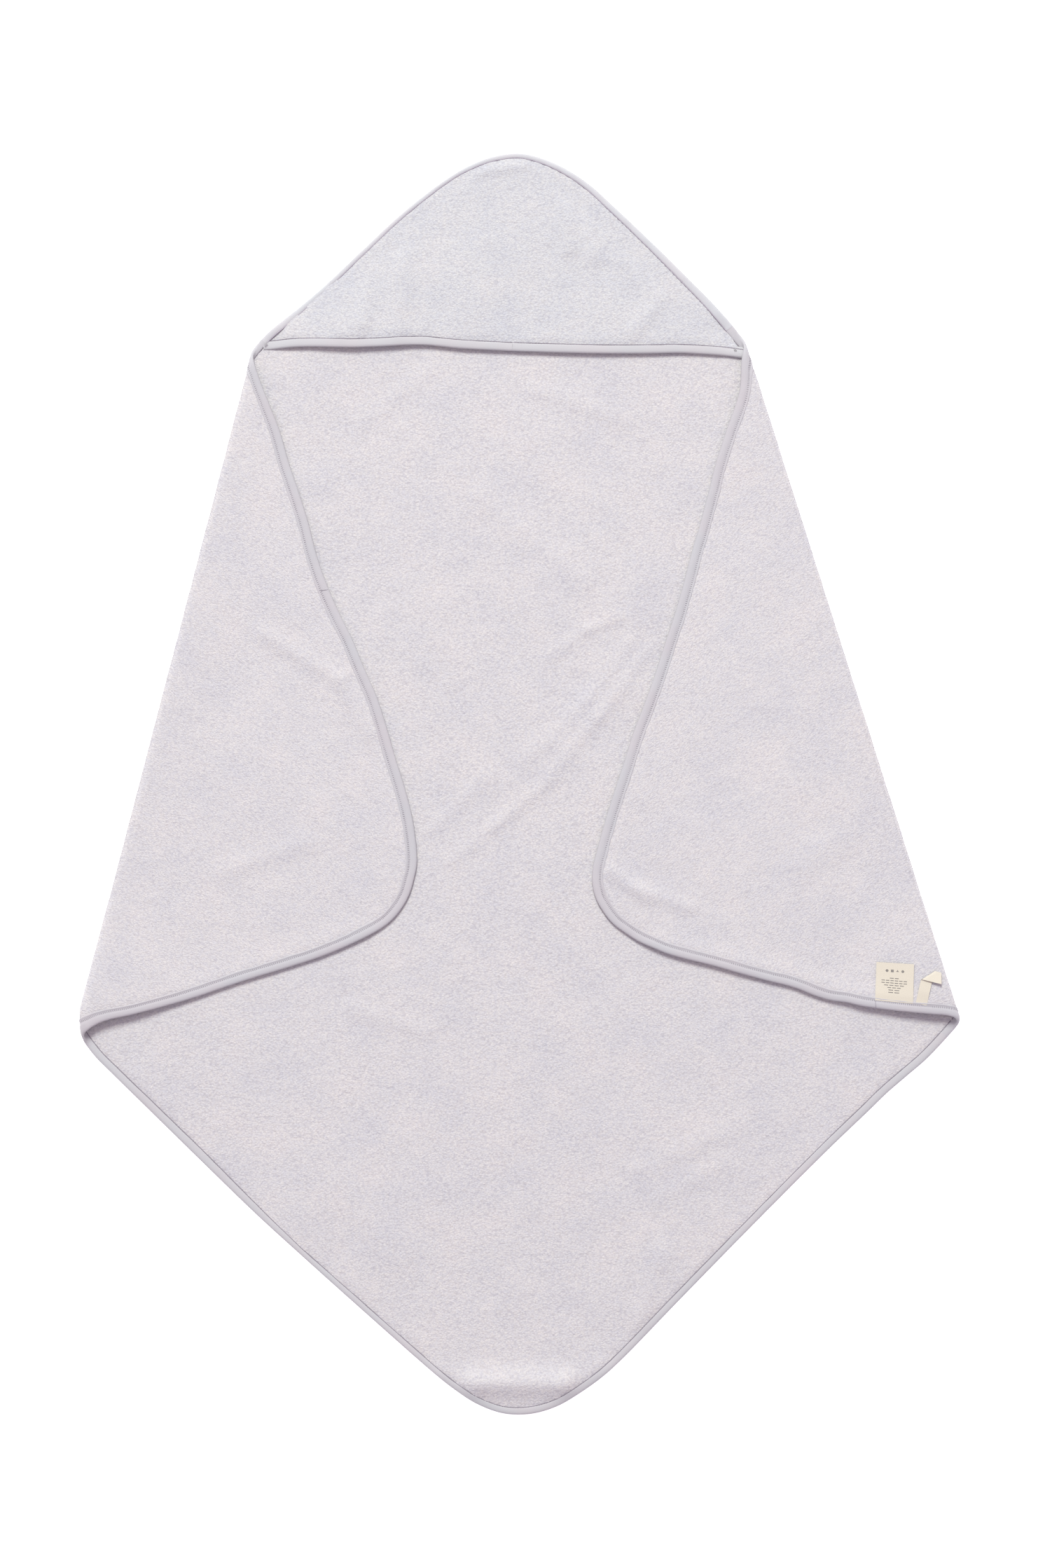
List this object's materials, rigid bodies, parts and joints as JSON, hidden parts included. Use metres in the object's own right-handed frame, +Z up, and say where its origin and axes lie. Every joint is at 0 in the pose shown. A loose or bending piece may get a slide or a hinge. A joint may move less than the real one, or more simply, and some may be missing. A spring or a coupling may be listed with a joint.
{
  "type": "hooded baby towel",
  "caption": "Square terry baby towel laid flat as a diamond: hood pocket sewn over its top corner, side corners folded in, soft bound edges, care label and ribbon tab.",
  "frame": {"origin": "on the floor, under the middle of the towel as it lies", "axes": "+Z up, +Y towards the hood's corner, +X to the right of someone looking down with the hood away from them"},
  "size_m": [0.786, 1.1272, 0.0174],
  "materials": {
    "terry": "pale lilac-grey cotton terry, short loops, matte",
    "binding": "smooth cotton jersey binding, matte, a shade darker than the terry",
    "thread": "polyester sewing thread, slight sheen",
    "label_satin": null,
    "ribbon_satin": "cream satin ribbon, soft sheen, no print"
  },
  "bodies": {
    "towel": {"centre_panel": "terry", "left_fold_roll": "terry", "right_fold_roll": "terry", "left_tip_binding": "binding", "right_tip_binding": "binding", "hood_edge_binding": "binding", "hood_edge_stitching": "thread", "left_bar_tack": "thread", "right_bar_tack": "thread"},
    "left_flap": {"left_flap_panel": "terry", "left_flap_binding": "binding", "left_flap_stitching": "thread"},
    "right_flap": {"right_flap_panel": "terry", "right_flap_binding": "binding", "right_flap_stitching": "thread"},
    "hood": {"hood_panel": "terry", "hood_front_binding": "binding", "hood_front_stitching": "thread"},
    "bottom_corner": {"bottom_corner_panel": "terry", "bottom_binding": "binding", "bottom_stitching": "thread"},
    "label": {"care_label": "label_satin"},
    "ribbon": {"ribbon_tab": "ribbon_satin"}
  },
  "joints": [
    {"name": "left_flap_fold", "type": "hinge", "parent": "towel", "child": "left_flap", "pos_m": [-0.2405, 0.386, 0.0048], "axis": [-0.2527, -0.9675, 0], "range_deg": [0, 179]},
    {"name": "right_flap_fold", "type": "hinge", "parent": "towel", "child": "right_flap", "pos_m": [0.395, -0.217, 0.0048], "axis": [-0.3028, 0.953, 0], "range_deg": [0, 179]},
    {"name": "hood_lift", "type": "hinge", "parent": "towel", "child": "hood", "pos_m": [0, 0.5535, 0.0068], "axis": [-1, 0, 0], "range_deg": [0, 25]},
    {"name": "bottom_corner_fold", "type": "hinge", "parent": "towel", "child": "bottom_corner", "pos_m": [0, -0.245, 0.009], "axis": [-1, 0, 0], "range_deg": [0, 179]},
    {"name": "care_label_flip", "type": "hinge", "parent": "right_flap", "child": "label", "pos_m": [0.3346, -0.1934, 0.008], "axis": [1, 0, 0], "range_deg": [0, 160]},
    {"name": "ribbon_tab_flip", "type": "hinge", "parent": "right_flap", "child": "ribbon", "pos_m": [0.354, -0.1934, 0.0084], "axis": [1, 0, 0], "range_deg": [0, 150]}
  ]
}
